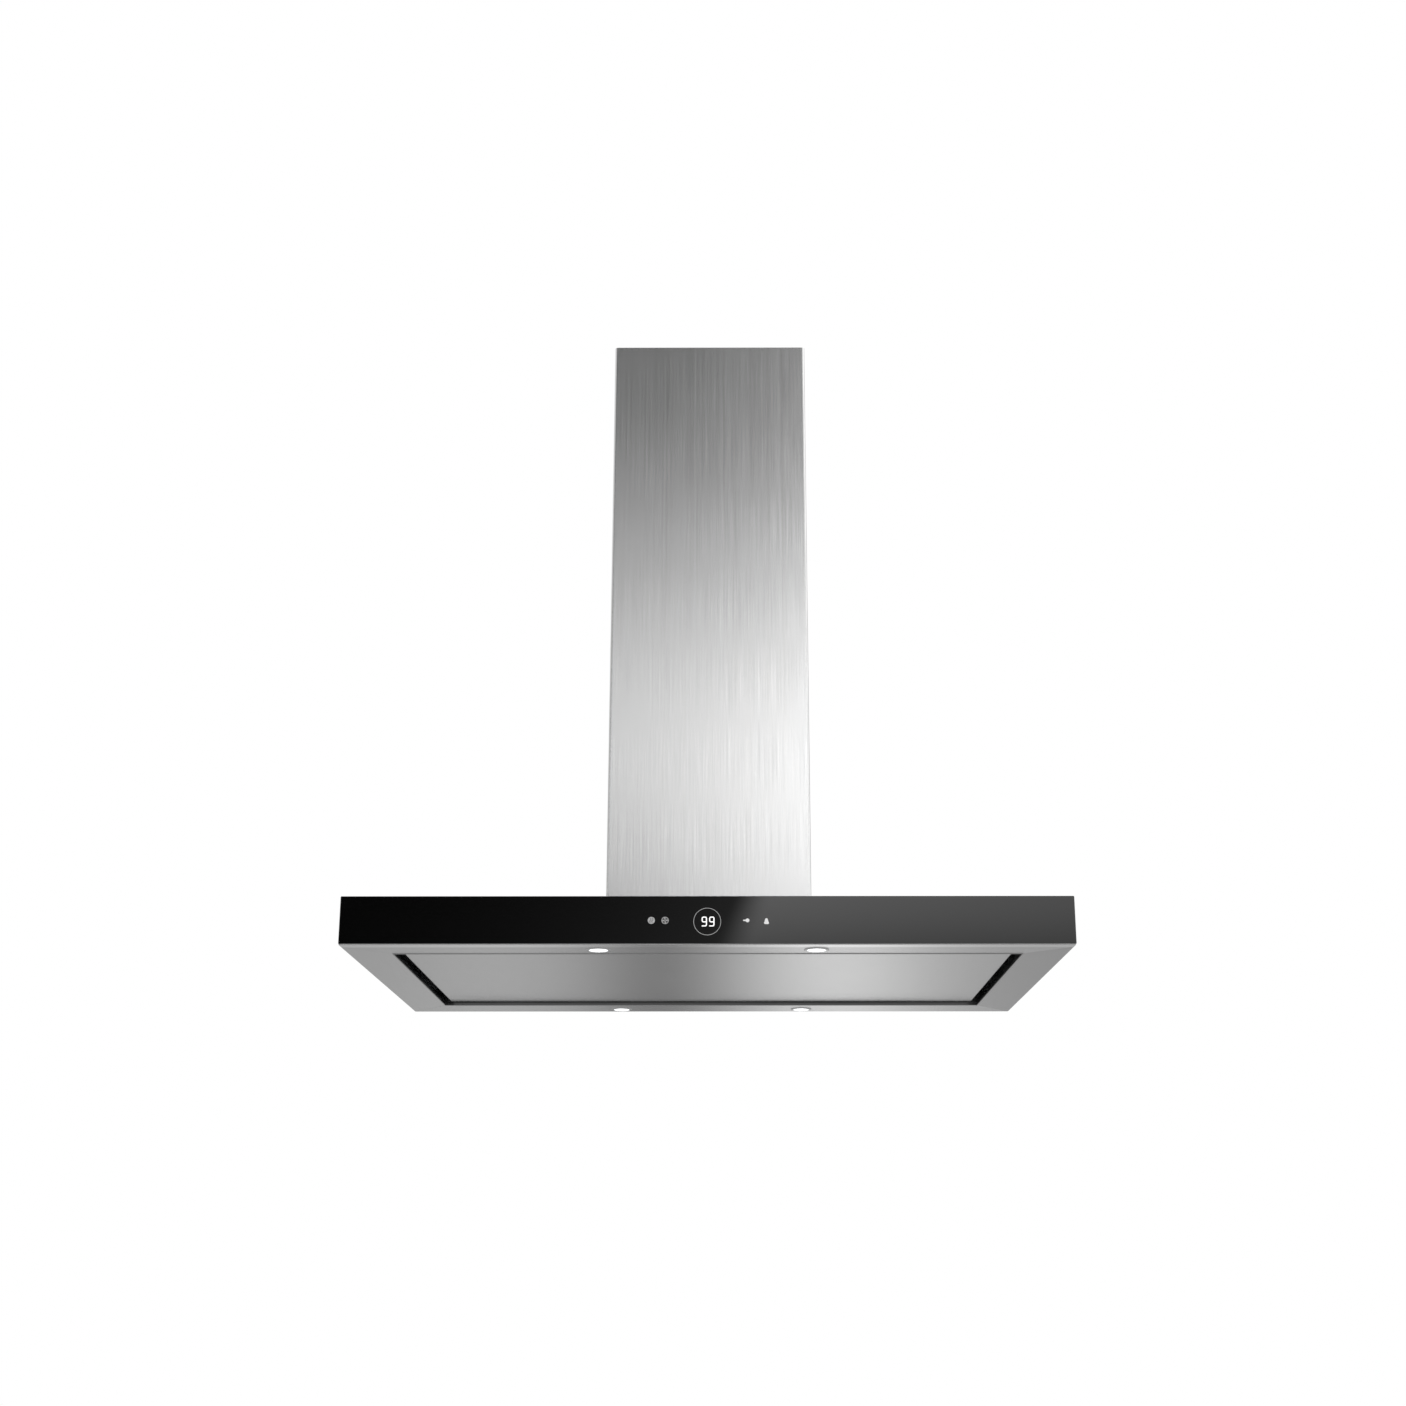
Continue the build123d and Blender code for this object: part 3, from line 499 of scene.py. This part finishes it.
def revolved(centre, radii, heights, steps=64):
    """A closed profile turned about a vertical axis: x = r cos a, y = r sin a, z = height.
    The profile starts and ends on the axis."""
    angle = np.linspace(0, 2 * math.pi, steps, endpoint=False)
    x = centre[0] + radii[:, None] * np.cos(angle)
    y = centre[1] + radii[:, None] * np.sin(angle)
    z = np.broadcast_to(heights[:, None], x.shape)
    return np.stack([x, y, z], axis=-1), strip_faces(len(radii), steps)


def rounded_path(corners, radius, steps=6):
    """A polyline whose inner corners become curves: each is the quadratic curve from one
    side to the other, starting radius away from the corner."""
    corners = np.asarray(corners, float)
    runs = [corners[:1]]
    t = np.linspace(0, 1, steps)[:, None]
    for before, corner, after in zip(corners[:-2], corners[1:-1], corners[2:]):
        start = corner + (before - corner) / np.linalg.norm(before - corner) * radius
        end = corner + (after - corner) / np.linalg.norm(after - corner) * radius
        runs.append((1 - t) ** 2 * start + 2 * t * (1 - t) * corner + t ** 2 * end)
    runs.append(corners[-1:])
    return np.concatenate(runs)


def stroke(path, widths, depth, y, closed=False, ring=14, cap=6):
    """A flattened bead on the glass, drawn along an (x, z) path in millimetres.

    Its section is an ellipse: across = width cos u, out = depth sin u. An open bead ends in
    round caps, where the path runs on by width sin a while the width falls as cos a.
    """
    path = np.asarray(path, float)
    widths = np.broadcast_to(np.asarray(widths, float), (len(path),)).copy()
    if closed:
        along = np.roll(path, -1, axis=0) - np.roll(path, 1, axis=0)
    else:
        along = np.gradient(path, axis=0)
    along /= np.linalg.norm(along, axis=1, keepdims=True)
    if not closed:
        a = np.linspace(0, math.pi / 2, cap + 1)[1:, None]
        head = path[:1] - along[:1] * widths[0] * np.sin(a[::-1])
        tail = path[-1:] + along[-1:] * widths[-1] * np.sin(a)
        widths = np.concatenate(
            [widths[0] * np.cos(a[::-1, 0]), widths, widths[-1] * np.cos(a[:, 0])]
        )
        path = np.concatenate([head, path, tail])
        along = np.concatenate(
            [np.repeat(along[:1], cap, 0), along, np.repeat(along[-1:], cap, 0)]
        )
    across = np.stack([-along[:, 1], along[:, 0]], axis=-1)
    u = np.linspace(0, 2 * math.pi, ring, endpoint=False)
    flat = path[:, None] + across[:, None] * (widths[:, None] * np.cos(u))[..., None]
    share = (widths / widths.max())[:, None]
    out = np.broadcast_to(depth * np.sin(u) * np.sqrt(np.clip(share, 0, 1)), flat.shape[:2])
    points = np.stack([flat[..., 0] * MM, y + out * MM, GLASS_MID + flat[..., 1] * MM], axis=-1)
    if closed:
        points = np.concatenate([points, points[:1]])
    return points, strip_faces(len(points), ring)


def circle(x, z, radius, steps=72):
    angle = np.linspace(0, 2 * math.pi, steps, endpoint=False)
    return np.stack([x + radius * np.cos(angle), z + radius * np.sin(angle)], axis=-1)


# ---- the glass front ----------------------------------------------------------------------
GLASS_FACE = FRONT + 0.12 * MM      # the printed and lit marks stand between it and FRONT
GLASS_CORNER = 1.2 * MM
ARRIS = 0.8 * MM


def glass_slab(material):
    """Glass with a ground arris: rings of a rounded rectangle whose inset grows as
    1 - cos a and whose depth as sin a round the front edge."""
    half_x, half_z = (glass_high.x - glass_low.x) / 2, (glass_high.z - glass_low.z) / 2
    steps = 8
    turn = np.linspace(0, math.pi / 2, steps)
    angle = np.concatenate([turn + k * math.pi / 2 for k in range(4)])
    centre_x = np.repeat(np.array([1, -1, -1, 1]) * (half_x - GLASS_CORNER), steps)
    centre_z = np.repeat(np.array([1, 1, -1, -1]) * (half_z - GLASS_CORNER), steps)
    bend = np.linspace(0, math.pi / 2, 7)
    inset = np.concatenate([[0.0], ARRIS * (1 - np.cos(bend))])
    depth = np.concatenate([[glass_high.y], GLASS_FACE + ARRIS * (1 - np.sin(bend))])
    radius = (GLASS_CORNER - inset)[:, None]
    x = centre_x + radius * np.cos(angle)
    z = GLASS_MID + centre_z + radius * np.sin(angle)
    y = np.broadcast_to(depth[:, None], x.shape)
    rows, columns = x.shape
    first_of_last = (rows - 1) * columns
    caps = [range(columns), range(first_of_last, first_of_last + columns)]
    shell = np.stack([x, y, z], axis=-1), strip_faces(rows, columns)
    slab = piece("glass_front", [shell], material, "hood", caps=caps)
    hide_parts("front_glass")


# The marks' places and sizes are in millimetres from the middle of the glass.
BEAD, OVERPRINT_BEAD = 0.05, 0.04   # half the thickness of a mark, and of one printed on it
PRINT_Y = FRONT + 0.09 * MM
OVERPRINT_Y = FRONT + 0.055 * MM
DISPLAY_Z, RING_RADIUS = -2.05, 16.6
DIGIT_X = (-3.55, 5.6)
KEY_Z, BELL_Z = -0.65, -1.6
DISC_X, FAN_X, BULB_X, BELL_X = -68.35, -51.5, 49.0, 72.4


def mark(path, widths, closed=False):
    return stroke(path, widths, BEAD, PRINT_Y, closed)


def digit_nine(x, z):
    """The digit 9 as one bead: foot, right side, head, left side and waist."""
    wide, high, waist = 2.6, 5.45, 0.4
    corners = np.array([
        (-wide, -high), (wide, -high), (wide, high), (-wide, high), (-wide, -waist),
        (wide, -waist),
    ])
    return mark(rounded_path(corners + (x, z), 1.9), 0.7)


def spot(x, z, radius):
    """A flat round mark: a very short bead whose caps are half circles."""
    path = [(x - 0.05, z), (x, z), (x + 0.05, z)]
    return stroke(path, radius, BEAD, PRINT_Y, ring=40, cap=14)


def fan_petal(angle):
    """A petal that starts near the fan's axis, widens outwards and leans with the turn."""
    radii, leans = np.array([0.9, 1.7, 2.5]), np.array([-0.1, 0.0, 0.16])
    x = FAN_X + radii * np.cos(angle + leans)
    z = KEY_Z + radii * np.sin(angle + leans)
    return mark(np.stack([x, z], axis=-1), (0.45, 0.75, 0.8))


def control_marks(white, bright, pale, ink):
    """Ring and two digits of the display, and two generic keys on each side of it."""
    digits = [digit_nine(x, DISPLAY_Z) for x in DIGIT_X]
    piece("display_digits", digits, white, "hood")
    piece("display_ring", [mark(circle(0, DISPLAY_Z, RING_RADIUS), 0.3, True)], pale, "hood")

    disc = spot(DISC_X, KEY_Z, 4.3)
    rim = mark(circle(FAN_X, KEY_Z, 3.95), 0.42, True)
    petals = [fan_petal(quarter * math.pi / 2) for quarter in range(4)]
    piece("fan_keys", [disc, rim, *petals], pale, "hood")

    bulb = mark([(BULB_X + dx, KEY_Z) for dx in (-4.2, -2.6, -1.1, 0.1)], (0.95, 0.75, 1.9, 2.45))
    bell = mark([(BELL_X, BELL_Z + dz) for dz in (1.9, 0.6, -1.0)], (1.7, 2.1, 2.5))
    bell_foot = mark([(BELL_X + dx, BELL_Z - 2.2) for dx in (-1.6, 0.0, 1.6)], 1.45)
    piece("lit_keys", [bulb, bell, bell_foot], bright, "hood")

    t = np.linspace(-1, 1, 25)
    bow, rise = 0.8 * np.sin(t * math.pi), 2.6 * t
    waves = [
        stroke(np.stack([DISC_X + dx + bow, KEY_Z + rise], axis=-1), 0.42, OVERPRINT_BEAD,
               OVERPRINT_Y)
        for dx in (-1.3, 1.3)
    ]
    piece("key_overprint", waves, ink, "hood")


# ---- the hem round the opening, dark as a painted shadow line -----------------------------
HEM_HALF, HEM_DROP = 0.6 * MM, 0.8 * MM


def shadow_line_hem(material):
    """A folded edge round the rims' opening, carried along its four corners; its dark steel is a
    painted shadow line where the rims meet the panel. The section is a half ellipse hanging from
    the rims: out = half (1 + cos u), down = drop sin u, with u from 0 to pi, closed by a flat top
    just inside the rims."""
    rim = {side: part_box(f"rim_{side}") for side in ("left", "right", "front", "rear")}
    left, right = rim["left"][1].x, rim["right"][0].x
    front, rear = rim["front"][1].y, rim["rear"][0].y
    edge_x, away_x = np.array([left, right, right, left]), np.array([-1, 1, 1, -1])
    edge_y, away_y = np.array([front, front, rear, rear]), np.array([-1, -1, 1, 1])
    u = np.linspace(0, math.pi, 9)
    top = -0.05 * MM
    out = np.concatenate([HEM_HALF * (1 + np.cos(u)), [0.0, 2 * HEM_HALF]])
    down = np.concatenate([HEM_DROP * np.sin(u), [top, top]])
    x = edge_x[:, None] + away_x[:, None] * out
    y = edge_y[:, None] + away_y[:, None] * out
    z = np.broadcast_to(UNDERSIDE - down, x.shape)
    points = np.stack([x, y, z], axis=-1)
    points = np.concatenate([points, points[:1]])
    faces = strip_faces(len(points), len(out))
    piece("shadow_line_hem", [(points, faces)], material, "hood", smooth=False)


# ---- lamps --------------------------------------------------------------------------------
def lamp_lenses(which, material):
    """Two moulded lenses: a flat top and a shallow dome hanging down, rippled in rings.
    The dome rises from its lowest point as the square of the radius; the ripple is a cosine
    of it."""
    low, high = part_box(f"lamp_lenses_{which}")
    radius, row_y = (high.y - low.y) / 2, (high.y + low.y) / 2
    r = np.linspace(0, 1, 49)
    sag = 0.45 * MM * r ** 2
    ripple = 0.05 * MM * (1 + np.cos(r * 9 * 2 * math.pi)) * (1 - r)
    dome = low.z + sag + ripple
    rim = np.array([dome[-1] + 0.15 * MM, high.z - 0.2 * MM, high.z])
    radii = np.concatenate([r * (radius - 0.12 * MM), [radius, radius, radius - 0.2 * MM, 0.0]])
    heights = np.concatenate([dome, rim, [high.z]])
    shells = [revolved((side * LAMP_X, row_y), radii, heights) for side in (-1, 1)]
    lens = piece(f"led_lenses_{which}", shells, material, "hood")
    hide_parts(f"lamp_lenses_{which}")


# ---- grease filter mesh -------------------------------------------------------------------
PITCH_X, PITCH_Y = 9.0 * MM, 5.2 * MM       # one diamond of the expanded metal
STRAND, STRAND_HALF_HEIGHT = 0.5 * MM, 0.26 * MM
LAYER_INSET = 0.3 * MM                      # the two layers' distance from the mesh's faces


def expanded_layer(low, high, z, phase):
    """Zigzag strands side by side: strand k runs along X with y = centre + (-1)^(k + step)
    times a quarter pitch, so that neighbours meet in diamonds, each strand a thin bar."""
    strands = int((high.y - low.y) / PITCH_Y)
    steps = int((high.x - low.x) / PITCH_X * 2)
    k, n = np.meshgrid(np.arange(strands), np.arange(steps + 1), indexing="ij")
    swing = (PITCH_Y / 2 - STRAND * 0.4) * np.where((k + n + phase) % 2, 0.5, -0.5)
    x = low.x + (high.x - low.x) * n / steps
    y = low.y + PITCH_Y * (k + 0.5) + swing + (high.y - low.y - strands * PITCH_Y) / 2
    section = np.array([[-1, -1], [1, -1], [1, 1], [-1, 1]])
    corner = section * (STRAND / 2, STRAND_HALF_HEIGHT)
    points = np.stack(
        [
            np.broadcast_to(x[..., None], (*x.shape, 4)),
            y[..., None] + corner[:, 0],
            np.broadcast_to(z + corner[:, 1], (*x.shape, 4)),
        ],
        axis=-1,
    )
    ends = np.arange(4) + np.array([[0], [4 * steps]])
    one = np.concatenate([strip_faces(steps + 1, 4), ends])
    count = (steps + 1) * 4
    return points, (one[None] + (np.arange(strands) * count)[:, None, None]).reshape(-1, 4)


def filter_mesh(side, material):
    low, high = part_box(f"filter_{side}_mesh")
    layers = [
        expanded_layer(low, high, low.z + LAYER_INSET, 0),
        expanded_layer(low, high, high.z - LAYER_INSET, 1),
    ]
    mesh = piece(f"expanded_metal_{side}", layers, material, "hood", smooth=False)
    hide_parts(f"filter_{side}_mesh")


# ---- the frame's own nodes ----------------------------------------------------------------
# painted shade in the slot: the rims' and panel's upright faces keep only this share of their
# brightness
RIM_SLOT_SHADE, PANEL_SLOT_SHADE = 0.28, 0.3    # share of the sheet's brightness on upright faces
steel_upright = brushed("brushed_upright", "Z", "X", 0.64, scratch=0.14, rough=0.215)
steel_across = brushed("brushed_across", "X", "Z", 0.63)
steel_panel = brushed("brushed_panel", "X", "Z", 0.63, slot_shade_share=PANEL_SLOT_SHADE)
steel_rail = brushed("brushed_rail", "X", "Z", 0.62, slot_shade_share=RIM_SLOT_SHADE)
steel_left = brushed("brushed_left", "Y", "Z", 0.62, slot_shade_share=RIM_SLOT_SHADE)
# painted shade: the right rim is the same steel as the left, set darker
steel_right_shaded = brushed("brushed_right_shaded", "Y", "Z", 0.47, slot_shade_share=RIM_SLOT_SHADE)
# painted highlight: the front trim is the canopy's steel set much brighter
steel_trim_sheen = brushed("brushed_trim_painted_sheen", "X", "Z", 0.86, scratch=0.2, rough=0.2)
# painted shadow: the hem's steel is set dark to stand for the shadow line round the opening
shadow_line_steel = brushed("brushed_hem_painted_shadow", "X", "Y", 0.3, scratch=0.2, rough=0.3)
aluminium = satin_aluminium()
SLOT_FINISH = {
    "stainless_cover": steel_upright,
    "stainless_canopy": steel_across,
    "stainless_rim": steel_rail,
    "black_glass": black_glass(),
    "galvanised": galvanised(),
    "zinc_screw": plated(),
    "filter_aluminium": aluminium,
    "black_plastic": plastic("black_moulding", 0.018, 0.036),
    "white_plastic": plastic("white_moulding", 0.66, 0.78, 0.015),
    "grey_plastic": plastic("grey_moulding", 0.20, 0.29, -0.01),
    "lamp_bezel": satin_chrome(),
    "circuit_board": circuit_board(),
    "motor_steel": motor_paint(),
}
NODE_FINISH = {
    "rim_left": steel_left,
    "rim_right": steel_right_shaded,
    "front_trim": steel_trim_sheen,
    "panel_skin": steel_panel,
}

for row in frame["record"]["subparts"]:
    node, slot = row["node"], row["material_slot"]
    if slot in SLOT_FINISH:
        mesh = nodes[node].data
        mesh.materials.clear()
        mesh.materials.append(NODE_FINISH.get(node, SLOT_FINISH[slot]))

glass_slab(SLOT_FINISH["black_glass"])
control_marks(
    lit_print("lit_digits", level=0.95, base=0.35),
    lit_print("lit_keys", level=0.5, base=0.30),
    lit_print("printed_keys", level=0.24, base=0.20),
    lit_print("key_ink", level=0.02, base=0.03),
)
for which in ("front", "rear"):
    lens_low, lens_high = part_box(f"lamp_lenses_{which}")
    middle, radius = (lens_low.y + lens_high.y) / 2, (lens_high.y - lens_low.y) / 2
    lamp_lenses(which, lit_lens(f"lit_lens_{which}", middle, radius, power=2.6))
for side in ("left", "right"):
    filter_mesh(side, aluminium)
shadow_line_hem(shadow_line_steel)


# ---- light, floor and camera --------------------------------------------------------------
SKYLINE = 0.198         # upward slope where the overhead part of the soft box begins


def front_wall(across, up):
    """The studio in front, by slopes to the right and upwards: a large soft box to the right
    of a slanted edge, fading upwards, a dim ramp to its left and a low pale horizon."""
    edge = across - (0.002 + 0.41 * (up - 0.173))
    to_right = edge.smooth(-0.010, 0.012)
    overhead = 0.15 * up.smooth(SKYLINE, 0.203) + 0.85 * up.smooth(0.203, 0.262)
    lift = overhead * 0.58
    height = (0.85 + 1.5 * (1.0 - up.smooth(0.2, 0.49))) * (0.42 + 0.58 * up.smooth(0.15, 0.2))

    fall = 0.3 + 0.7 * (-(edge.at_least(0.0)) / 0.35).exp()
    box = fall * height * (1.0 + lift) + across.smooth(0.5, 1.6)
    ramp = 0.35 * (edge.at_most(0.0) / 0.08).exp() + 0.36 * (-across).smooth(0.3, 0.9)
    spill = (0.04 + 0.66 * (1.0 - up.smooth(0.26, 0.46))) * overhead
    left = ramp + (height - ramp) * spill * (0.9 + 0.2 * lift)

    wall = left + (box - left) * to_right + 0.5 * up.smooth(0.68, 0.95)
    horizon, above_horizon = 0.62, up.smooth(0.03, 0.10)
    return horizon * (1.0 - above_horizon) + wall * above_horizon


STEEL_REFLECTANCE = 0.68    # the stand-offs below are set as brightnesses seen in the steel


def rear_room(across, z):
    """The studio behind: below, a grey room with dark and bright stand-offs near the middle;
    above, a soft ceiling that brightens upwards."""
    bands = (
        0.29
        + 0.07 * across.hump(-0.12, 0.05)
        - 0.18 * across.hump(-0.034, 0.034)
        + 0.34 * across.hump(0.056, 0.048)
    ) / STEEL_REFLECTANCE
    grey_wall = 0.6
    near = 1.0 - across.size().smooth(0.3, 0.6)
    room = grey_wall + (bands - grey_wall) * near
    above = grey_wall + 0.55 * z.smooth(0.0, 0.9)
    return room + (above - room) * z.smooth(-0.04, 0.04)


def studio_light():
    """White where the camera looks past the hood; elsewhere a studio given by direction."""
    world = bpy.data.worlds.new("studio")
    bpy.context.scene.world = world
    s = Shader(world)
    x, y, z = s.parts(s.node("ShaderNodeTexCoord", output="Generated"))
    depth = y.size().at_least(0.03)
    across, up = x / depth, z / depth
    front, behind = front_wall(across, up), rear_room(across, z)
    level = front + (behind - front) * y.smooth(-0.12, 0.12)
    light = s.node("ShaderNodeBackground", None, {"Color": grey(1.0), "Strength": level})
    white = s.node("ShaderNodeBackground", None, {"Color": grey(1.0), "Strength": 1.0})
    seen = s.node("ShaderNodeLightPath", output="Is Camera Ray")
    mixed = s.node("ShaderNodeMixShader", None, {0: seen, 1: light, 2: white})
    s.node("ShaderNodeOutputWorld", None, {"Surface": mixed})


FLOOR_LEVEL, FLOOR_HALF = -2.45, 8.0


def pale_floor():
    """Plain pale floor below the hood, kept out of the metal's reflections."""
    square = np.array([[-1, -1], [1, -1], [1, 1], [-1, 1]]) * FLOOR_HALF
    corners = np.column_stack([square, np.full(4, FLOOR_LEVEL)]).tolist()
    mesh = bpy.data.meshes.new("floor")
    mesh.from_pydata(corners, [], [(0, 1, 2, 3)])
    floor = bpy.data.objects.new("floor", mesh)
    bpy.context.scene.collection.objects.link(floor)

    def build(s):
        cloud = s.noise(s.place(), 1.2, 3.0)
        return {"Base Color": s.blend(cloud, grey(0.90), grey(0.93)), "Roughness": 0.8}

    mesh.materials.append(finish("pale_floor", build))
    floor.visible_glossy = False


CAMERA_BACK, CAMERA_SIDE, CAMERA_BELOW = 2.611, 0.0265, 0.397   # from the canopy's underside
CAMERA_PITCH, CAMERA_YAW = 16.1, 0.18                           # degrees


def camera():
    """Below the canopy and in front of it, looking up."""
    data = bpy.data.cameras.new("camera")
    data.lens = 49.0
    data.sensor_width = 36.0
    data.shift_x = -0.0142
    data.shift_y = 0.02
    data.clip_end = 100.0
    made = bpy.data.objects.new("camera", data)
    made.location = (CAMERA_SIDE, -CAMERA_BACK, UNDERSIDE - CAMERA_BELOW)
    made.rotation_euler = Euler(
        (math.radians(90.0 + CAMERA_PITCH), 0.0, math.radians(CAMERA_YAW))
    )
    bpy.context.scene.collection.objects.link(made)
    bpy.context.scene.camera = made


studio_light()
pale_floor()
camera()
bpy.context.scene.view_settings.view_transform = "Standard"
